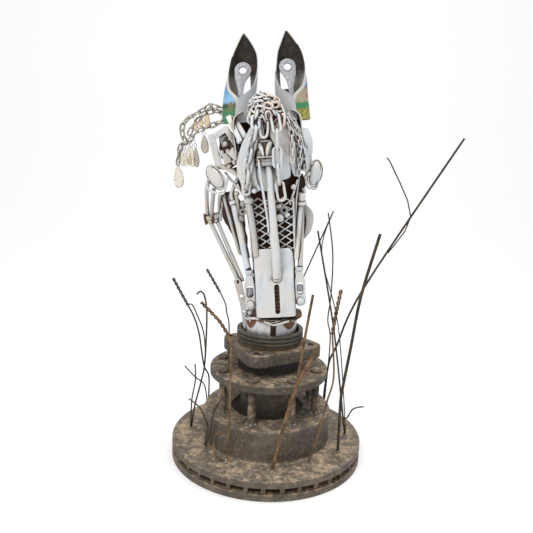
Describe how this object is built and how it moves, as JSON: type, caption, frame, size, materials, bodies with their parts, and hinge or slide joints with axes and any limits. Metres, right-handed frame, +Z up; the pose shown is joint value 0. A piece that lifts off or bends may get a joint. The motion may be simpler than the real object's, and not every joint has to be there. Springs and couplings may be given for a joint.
{
  "type": "horse head sculpture",
  "caption": "Horse head of welded scrap metal with chain forelock and mane, standing on a stack of truck brake and hub parts with bent wires round it.",
  "frame": {"origin": "on the floor, below the middle of the whole part's width and depth", "axes": "+Z up, -Y towards the viewer, so the horse looks along -Y, +X to the viewer's right"},
  "size_m": [0.4868, 0.32, 0.6899],
  "materials": {
    "iron": "dark cast iron with dry rust and ochre dust",
    "collar": "dark oily grey",
    "white": "worn off-white paint",
    "valve": "dull grey steel",
    "rust": "brown rust",
    "wire": "dull dark steel wire",
    "silver": "tarnished silver and bronze",
    "glass": "clear, faintly amber",
    "ear": "thin printed sheet, grey and brown inside"
  },
  "bodies": {
    "root": {"bearing_carrier": "iron", "brake_disc": "iron", "brow_motor": "valve", "brow_tube_left": "rust", "cheek_strut_left": "white", "cheek_strut_right": "white", "cheek_tube_right": "white", "chin_cup": "white", "ear_lever_left": "valve", "ear_lever_right": "valve", "ear_sheet_left": "ear", "ear_sheet_right": "ear", "engine_valve_left": "valve", "eye_frame_left": "white", "eye_frame_right": "white", "eye_left": "white", "eye_right": "white", "forehead_plate_left": "white", "forehead_plate_right": "white", "forelock_chain_left": "white", "forelock_chain_right": "white", "glass_drop": "glass", "hub_stud_1": "iron", "hub_stud_2": "iron", "hub_stud_3": "iron", "hub_stud_4": "iron", "hub_stud_5": "iron", "hub_stud_6": "iron", "hub_stud_7": "iron", "hub_stud_8": "iron", "jaw_bar_left": "white", "jaw_frame_left": "white", "jaw_strap_left": "white", "leaf_plate_right": "white", "lip_plate": "rust", "mane_chain": "silver", "nose_mesh": "white", "nose_plate": "white", "nose_rod": "white", "nose_tube": "white", "nostril_bracket_left": "white", "nostril_bracket_right": "white", "oval_plate_right": "white", "ribbed_collar": "collar", "rod_front": "rust", "rod_right_long": "wire", "rod_right_thick": "wire", "skull_shell": "rust", "temple_bar_left": "white", "temple_bracket": "white", "temple_cover_right": "white", "temple_tubes": "white", "wheel_hub": "iron", "wire_left_front": "wire", "wire_left_rear": "wire", "wire_left_rusty": "rust", "wire_left_side": "wire", "wire_right": "wire", "wire_right_rusty": "rust"}
  },
  "joints": []
}
